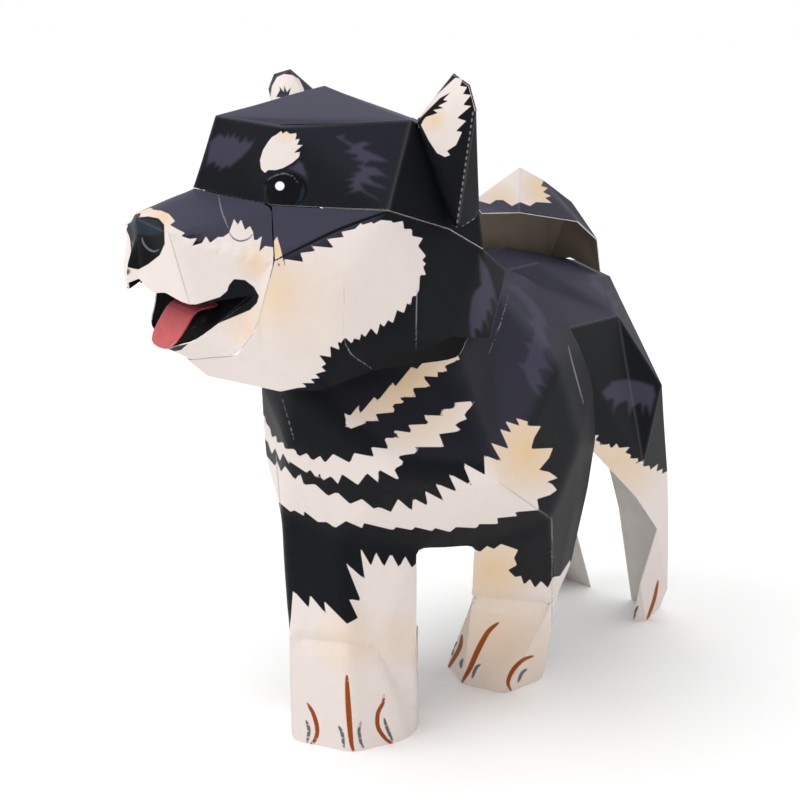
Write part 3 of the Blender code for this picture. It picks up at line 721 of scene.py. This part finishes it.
headLowerLook = {
    "slot": "cream_card",
    "print": palePrint,
    "foldAngle": 32.0,
    # the inner side in painted shade
    "inside": paintedShadeCard,
    "grain": 0.00072,
    "mirror": ("head", -1.0),
    "inks": {
        "cream": fills(
            [(262, 262), (274, 260), (279, 267), (281, 261), (286, 267), (284, 259), (304, 262), (300, 253),
             (316, 251), (311, 246), (334, 248), (327, 239), (344, 237), (341, 232), (355, 229), (361, 223),
             (362, 225), (372, 222), (373, 224), (381, 220), (392, 221), (393, 223), (403, 221), (404, 229),
             (412, 229), (412, 236), (423, 238), (418, 246), (426, 256), (422, 260), (426, 264), (423, 267),
             (426, 275), (420, 275), (419, 290), (416, 296), (412, 296), (411, 305), (407, 303), (404, 313),
             (397, 310), (393, 323), (388, 320), (384, 327), (380, 323), (377, 335), (371, 328), (365, 337),
             (361, 333), (360, 340), (354, 338), (352, 344), (345, 337), (341, 343), (337, 341), (340, 350),
             (330, 346), (331, 357), (319, 355), (326, 364), (321, 367), (326, 371), (315, 374), (320, 378),
             (310, 379), (315, 383), (302, 383), (307, 387), (297, 388), (283, 391), (262, 395), (240, 420),
             (120, 420), (120, 262)],
            [(271, 262), (273, 243), (277, 236), (281, 250), (284, 264)],
        ),
        "hairAndHighlight": fills([(478, 250), (490, 270), (496, 290), (499, 310), (492, 300), (494, 318), (488, 312),
                       (489, 330), (484, 322), (483, 334), (476, 330), (478, 348), (470, 340), (468, 320),
                       (470, 300), (474, 290), (480, 285), (478, 268)]),
        # painted shadow under the overlapping top flap
        "black": strokes(3.0, [(274, 261), (300, 248), (340, 229), (384, 213), (404, 208)]),
        "score": strokes(1.3, [(344, 284), (346, 345), (372, 369)], [(417, 275), (416, 351)]),
    },
    "tanTintAndShade": [(276, 250, 16, 1.0), (272, 292, 48, 0.6), (300, 300, 60, 0.25)],
}

muzzleLook = {
    "slot": "cream_card",
    "print": palePrint,
    "foldAngle": 75.0,
    # the inner side below this height is painted shade
    "shadeInside": (0.0, 0.1283),
    "pulls": [((134, 273), 40, (-10, 5), -1), ((152, 285), 17, (0, 6), 1), ((124, 218), 13, (4, 5), 0)],
    "borderRounds": 3,
    "grain": 0.0004,
    "mirror": ("head", -1.0),
    "inks": {
        "cream": fills(wholeView),
        "ink": fills(
            [(150, 150), (290, 150), (290, 250), (265, 246), (259, 252), (262, 236), (257, 240), (254, 240),
             (253, 232), (250, 226), (245, 230), (241, 219), (238, 225), (234, 219), (229, 233), (223, 237),
             (218, 237), (210, 243), (206, 236), (202, 243), (192, 246), (197, 238), (190, 239), (181, 236),
             (185, 233), (177, 229), (170, 225), (175, 221), (169, 214), (161, 210.6), (150, 209.5)],
            [(191, 306), (204, 302), (220, 297), (227, 291), (229, 285), (234, 279), (245, 280), (254, 287),
             (259, 296), (257, 303), (250, 310), (231, 318), (212, 326), (199, 334), (189, 343), (181, 350),
             (171, 352), (150, 330), (150, 300)],
        ) + strokes(1.8, [(136, 270), (136, 279)]),
        "black": fills([(124.7, 224.6), (129, 218), (148.3, 216.4), (158.5, 218.3), (164.2, 224.6),
                        (164.8, 243.8), (159.7, 255.3), (148.3, 264.2), (135.5, 271.2), (127.9, 259),
                        (124.3, 241)]),
        "slate": fills([(127, 226), (130, 220), (148.3, 218.5), (157.5, 220.3), (161.5, 226), (161, 234),
                        (148, 236), (134, 233), (128, 236)]),
        "grey": strokes(2.2, [(141.9, 237.4), (143.8, 243.8), (148.3, 248.9), (154, 251.4), (159, 249.5)],
                        [(132.7, 236), (131, 241), (126.6, 244.4)])
        # the last grey stroke is the painted shadow along the lock tab's edge
        + strokes(1.6, [(229, 232), (233, 238), (240, 241), (248, 239), (253, 234)]),
        # the second score stroke is a painted highlight along the front and side fold
        "score": strokes(1.4, [(218.4, 195.3), (222, 212), (229, 229.7)], [(168, 230.4), (189.7, 304.4)]),
    },
    "tanTintAndShade": [(162, 216, 16, 0.7), (255, 262, 20, 0.6), (245, 320, 26, 0.4), (250, 330, 22, 0.5)],
}

mouthLook = {
    "slot": "black_card",
    "print": blackPrint,
    "foldAngle": 60.0,
    "inside": blackPrint,
    # the cut edge painted as shade, not white
    "edge": paintedShadeCard,
    "grain": 0.0006,
    "mirror": ("head", -1.0),
    "inks": {
        "grey": strokes(1.5, [(190, 308), (203, 309), (212, 312), (216, 316)], [(202, 323), (206, 320)],
                        [(192, 330), (197, 327)]),
    },
}

tongueLook = {
    "slot": "rose_card",
    "print": tonguePrint,
    "foldAngle": 60.0,
    "inside": tonguePrint,
    "edge": tonguePrint,
    "borderRounds": 4,
    "grain": 0.0004,
    "mirror": ("head", -1.0),
    # the rose strip is the folded strip of the tongue, painted lighter as a painted highlight
    "inks": {"rose": fills([(187, 333), (170, 346), (178, 350), (188, 340)])},
}

frontLook = {
    "slot": "black_card",
    "print": blackPrint,
    "foldAngle": 58.0,
    # the inner side above this height is painted shade
    "shadeInside": (0.085, 1.0),
    "creases": [((301, 641), (376, 648), 14, 0.0013), ((377, 648), (414, 706), 10, 0.0007),
                ((474, 600), (548, 607), 12, 0.0013)],
    "borderRounds": 5,
    "grain": 0.00115,
    "mirror": ("front", 0.066),
    "hiddenOnly": True,
    "frontOnly": ("brown", "grey", "score"),
    "inks": {
        "cream": fills(
            [(465, 332), (459, 343), (469, 335), (463, 348), (457, 357), (461, 359), (454, 362), (444, 366),
             (448, 372), (436, 372), (440, 377), (422, 376), (431, 387), (412, 388), (416, 397), (399, 397),
             (405, 403), (391, 404), (396, 412), (375, 414), (379, 421), (361, 421), (366, 423), (350, 429),
             (349, 426), (345, 428), (346, 420), (344, 413), (350, 416), (359, 405), (360, 414), (376, 395),
             (377, 402), (393, 382), (395, 387), (413, 365), (415, 371), (434, 351), (433, 358), (452, 340),
             (449, 345)],
            [(475, 401), (451, 403), (458, 409), (438, 409), (446, 416), (422, 415), (430, 424), (408, 425),
             (413, 433), (392, 430), (400, 438), (384, 438), (389, 449), (371, 447), (374, 457), (354, 453),
             (350, 463), (333, 454), (325, 463), (320, 456), (312, 461), (307, 453), (298, 457), (295, 449),
             (285, 449), (283, 442), (277, 443), (276, 435), (272, 438), (270, 428), (266, 423), (265, 417),
             (261, 411), (254, 398), (254, 422), (260, 428), (264, 432), (265, 439), (268, 442), (270, 449),
             (272, 454), (275, 448), (280, 461), (283, 453), (290, 466), (289, 461), (307, 473), (310, 469),
             (317, 479), (320, 472), (322, 481), (331, 476), (338, 484), (342, 474), (358, 485), (367, 473),
             (379, 483), (378, 469), (400, 481), (394, 469), (405, 463), (396, 456), (418, 453), (415, 447),
             (444, 447), (439, 434), (462, 431), (454, 424), (467, 419), (464, 414), (470, 408)],
            [(252, 428), (259, 441), (266, 455), (275, 466), (277, 461), (281, 472), (285, 466), (295, 480),
             (300, 473), (304, 485), (315, 484), (328, 496), (337, 492), (350, 504), (362, 499), (374, 509),
             (379, 507), (391, 512), (398, 499), (412, 511), (413, 498), (428, 506), (425, 491), (444, 501),
             (435, 483), (457, 492), (448, 473), (472, 486), (462, 462), (485, 475), (484, 455), (502, 462),
             (491, 443), (509, 449), (500, 429), (512, 433), (505, 421), (520, 426), (516, 418), (529, 422),
             (526, 426), (541, 426), (534, 438), (531, 449), (553, 448), (549, 458), (539, 470), (549, 472),
             (558, 478), (546, 482), (552, 484), (557, 490), (550, 495), (537, 499), (539, 510), (515, 512),
             (517, 516), (497, 518), (498, 524), (479, 524), (477, 528), (456, 527), (450, 532), (435, 528),
             (432, 531), (415, 527), (412, 530), (396, 527), (393, 530), (364, 523), (362, 528), (346, 521),
             (335, 528), (327, 522), (318, 522), (304, 511), (304, 516), (294, 510), (291, 512), (280, 503),
             (267, 494), (269, 483), (261, 474), (262, 465), (252, 456)],
            [(291, 617), (293, 590), (309, 608), (310, 595), (326, 614), (324, 601), (347, 624), (358, 618),
             (349, 599), (361, 601), (346, 563), (365, 580), (360, 547), (371, 566), (376, 552), (384, 567),
             (391, 553), (399, 568), (405, 556), (412, 568), (419, 560), (425, 790), (270, 790)],
            [(468, 552), (474, 549), (480, 552), (487, 546), (494, 549), (501, 544), (510, 547), (518, 550),
             (514, 558), (517, 565), (508, 570), (515, 577), (521, 576), (524, 585), (530, 579), (535, 588),
             (541, 581), (548, 588), (553, 577), (560, 576), (570, 560), (590, 720), (426, 720), (440, 640),
             (462, 600)],
        ),
        "hairAndHighlight": fills([(500, 280), (520, 285), (535, 300), (545, 315), (552, 332), (545, 327), (548, 340),
                       (553, 348), (544, 350), (548, 362), (558, 376), (548, 370), (540, 370), (544, 382),
                       (550, 388), (538, 386), (545, 400), (536, 396), (528, 385), (522, 370), (514, 362),
                       (524, 362), (528, 350), (520, 340), (530, 342), (534, 330), (524, 320), (532, 318),
                       (524, 305), (514, 295)]),
        "brown": strokes(5.6, [(346.7, 675), (348.3, 706), (351, 740), (354, 753)],
                         [(498, 623), (488, 632), (478, 650), (470, 668), (462, 682)])
        + strokes(4.4, [(307, 703), (313, 713), (317, 727), (316, 738), (309, 747)],
                  [(384, 695), (383, 703), (378, 713), (378, 727), (385, 738), (395, 746)],
                  [(462, 635), (460, 647), (453, 660), (448, 668)],
                  [(533, 656), (523, 660), (513, 670), (508, 682), (511, 691)]),
        "grey": strokes(3.4, [(306, 720), (309, 730), (307, 743)], [(338, 725), (342, 733), (344, 748)],
                        [(361, 722), (359, 730), (361, 743), (364, 748)],
                        [(384, 718), (387, 728), (393, 742)],
                        [(457, 642), (453, 647), (452, 655)], [(463, 659), (461, 663), (461, 668)],
                        [(481, 664), (476, 668), (472, 678)], [(527, 669), (522, 673), (518, 682)]),
        "score": strokes(1.3, [(568, 345), (573, 365), (584, 405)], [(282, 398), (290, 425), (295, 444)],
                         [(276, 455), (278, 480), (281, 512)],
                         [(497, 480), (520, 497), (539, 510), (552, 518)],
                         [(552, 518), (552, 640)], [(509, 293), (501, 322), (489, 353)]),
    },
    # the blobs on the paws, near y 640, are painted shade
    "tanTintAndShade": [(530, 450, 50, 0.9), (405, 380, 75, 0.8), (495, 570, 44, 0.8), (350, 640, 40, 0.35),
             (500, 640, 60, 0.5), (400, 640, 30, 0.3)],
}

rearLook = {
    "slot": "black_card",
    "print": blackPrint,
    "foldAngle": 28.0,
    # the inner side above this height is painted shade
    "shadeInside": (0.078, 1.0),
    "grain": 0.0013,
    "mirror": ("rear", -1.0),
    "inks": {
        "cream": fills(fur([(590, 436), (603, 450), (619, 448), (635, 464), (650, 470), (668, 476)], 7, 8)
                       + [(690, 490), (700, 700), (560, 700), (570, 440)]),
        "hairAndHighlight": fills([(600, 392), (612, 380), (625, 378), (640, 380), (655, 385), (657, 395), (653, 410),
                       (650, 420), (646, 406), (642, 420), (640, 404), (634, 408), (628, 420), (626, 402),
                       (618, 406), (612, 418), (612, 400), (606, 402)],
                      [(592, 272), (596, 270), (598, 280), (604, 282), (606, 290), (612, 285), (614, 298),
                       (620, 303), (618, 312), (623, 322), (616, 316), (612, 318), (610, 300), (604, 296),
                       (606, 306), (598, 292), (590, 286), (584, 288), (590, 280), (584, 276)]),
        "grey": strokes(3.0, [(638, 606), (635, 612), (634, 619)]),
        "brown": strokes(3.6, [(658, 581), (654, 600), (647, 620)]),
    },
    "tanTintAndShade": [(620, 460, 50, 0.6)],
}

tailLook = {
    "slot": "black_card",
    "print": blackPrint,
    "foldAngle": 30.0,
    "inside": shadedCard,
    "grain": 0.0006,
    "inks": {
        "cream": fills([(470, 200), (520, 160), (545, 178), (541, 186), (548, 188), (543, 192), (551, 196),
                        (545, 198), (552, 203), (536, 202), (530, 206), (520, 202), (512, 206), (503, 200),
                        (496, 200), (490, 204), (476, 200)]),
    },
    "tanTintAndShade": [(545, 188, 24, 0.8), (500, 202, 20, 0.6)],
}

leftEarLook = {
    "slot": "black_card",
    "print": blackPrint,
    "foldAngle": 40.0,
    "borderRounds": 4,
    "grain": 0.0004,
    "frontOnly": ("cream", "score"),
    "inks": {
        "cream": fills([(414, 116), (455, 78), (463, 78), (460, 86), (467, 87), (463, 94), (471, 95),
                        (463, 105), (471, 106), (457, 118), (466, 121), (456, 131), (462, 132), (456, 145),
                        (447, 151), (450, 155), (445, 157), (437, 153), (429, 141), (421, 125), (424, 119)]),
        "ink": fills([(419, 119), (440, 98), (451, 92), (443, 100), (448, 101), (438, 106), (444, 108),
                      (433, 110), (438, 113), (426, 117), (421, 123)]),
        "score": strokes(1.6, *dashes([(473, 112), (456, 231), (477, 217)])),
    },
    "tanTintAndShade": [(432, 118, 16, 0.7)],
}

rightEarLook = {
    "slot": "black_card",
    "print": blackPrint,
    "foldAngle": 40.0,
    "borderRounds": 4,
    "grain": 0.0004,
    "frontOnly": ("cream", "score"),
    "inks": {
        "cream": fills([(270, 99), (272, 86), (277, 77), (284, 74), (292, 75), (299, 79), (303, 87),
                        (304, 90), (302, 105), (300, 112), (295, 124), (290, 132), (287, 140), (282, 130),
                        (276, 122), (271, 110)]),
        "ink": fills([(276, 97), (280, 90), (279, 86), (284, 92), (284, 85), (287, 92), (291, 87), (289, 95),
                      (286, 98)]),
    },
}

cards = {
    "head_upper": headUpperLook,
    "head_lower": headLowerLook,
    "muzzle": muzzleLook,
    "mouth_lining": mouthLook,
    "tongue": tongueLook,
    "left_ear": leftEarLook,
    "right_ear": rightEarLook,
    "front_body": frontLook,
    "rear_body": rearLook,
    "tail": tailLook,
}
for name, look in cards.items():
    sheetOfCard(name, look)

roomLook = {
    "floorSize": 8.0,
    "floorWhite": 0.97,
    "floorRoughness": 0.9,
    "skyLight": 1.04,
    "keyPower": 5.0,
    "keyPlace": (-0.5, -0.7, 0.95),
    "keySize": 0.7,
    "keyAim": (0.0, 0.0, 0.08),
    "lens": 67.5,
    "sensor": 36.0,
}

floorMesh = bpy.data.meshes.new("floor")
half = roomLook["floorSize"] / 2
floorCorners = [(-half, -half, 0), (half, -half, 0), (half, half, 0), (-half, half, 0)]
floorMesh.from_pydata(floorCorners, [], [(0, 1, 2, 3)])
floorFinish = Nodes("floor")
floorFinish.shader.inputs["Base Color"].default_value = (*[roomLook["floorWhite"]] * 3, 1.0)
floorFinish.shader.inputs["Roughness"].default_value = roomLook["floorRoughness"]
floorMesh.materials.append(floorFinish.material)
floor = bpy.data.objects.new("floor", floorMesh)
bpy.context.scene.collection.objects.link(floor)

# the sky is white where a ray from the camera, a mirror or glass meets it, and a soft light elsewhere
world = bpy.data.worlds.new("white_room")
world.use_nodes = True
bpy.context.scene.world = world
tree = world.node_tree
sky = tree.nodes["Background"]
rayKind = tree.nodes.new("ShaderNodeLightPath")
cameraOrMirror = tree.nodes.new("ShaderNodeMath")
cameraOrMirror.operation = "MAXIMUM"
anyStraightRay = tree.nodes.new("ShaderNodeMath")
anyStraightRay.operation = "MAXIMUM"
tree.links.new(rayKind.outputs["Is Camera Ray"], cameraOrMirror.inputs[0])
tree.links.new(rayKind.outputs["Is Glossy Ray"], cameraOrMirror.inputs[1])
tree.links.new(cameraOrMirror.outputs[0], anyStraightRay.inputs[0])
tree.links.new(rayKind.outputs["Is Transmission Ray"], anyStraightRay.inputs[1])
skyStrength = tree.nodes.new("ShaderNodeMapRange")
skyStrength.inputs["To Min"].default_value = roomLook["skyLight"]
skyStrength.inputs["To Max"].default_value = 1.0
tree.links.new(anyStraightRay.outputs[0], skyStrength.inputs["Value"])
tree.links.new(skyStrength.outputs["Result"], sky.inputs["Strength"])
sky.inputs["Color"].default_value = (1.0, 1.0, 1.0, 1.0)

keyLight = bpy.data.lights.new("key", "AREA")
keyLight.energy = roomLook["keyPower"]
keyLight.size = roomLook["keySize"]
key = bpy.data.objects.new("key", keyLight)
key.location = roomLook["keyPlace"]
aim = np.array(roomLook["keyAim"]) - np.array(roomLook["keyPlace"])
key.rotation_euler = (math.acos(-aim[2] / np.linalg.norm(aim)), 0.0, math.atan2(-aim[0], aim[1]))
bpy.context.scene.collection.objects.link(key)

cameraData = bpy.data.cameras.new("camera")
cameraData.lens = roomLook["lens"]
cameraData.sensor_width = roomLook["sensor"]
camera = bpy.data.objects.new("camera", cameraData)
camera.location = photoView["place"]
camera.rotation_euler = (math.radians(90 - photoView["pitch"]), 0.0, math.radians(photoView["azimuth"]))
bpy.context.scene.collection.objects.link(camera)
bpy.context.scene.camera = camera
bpy.context.scene.view_settings.view_transform = "Standard"
print("room, lights and camera placed")
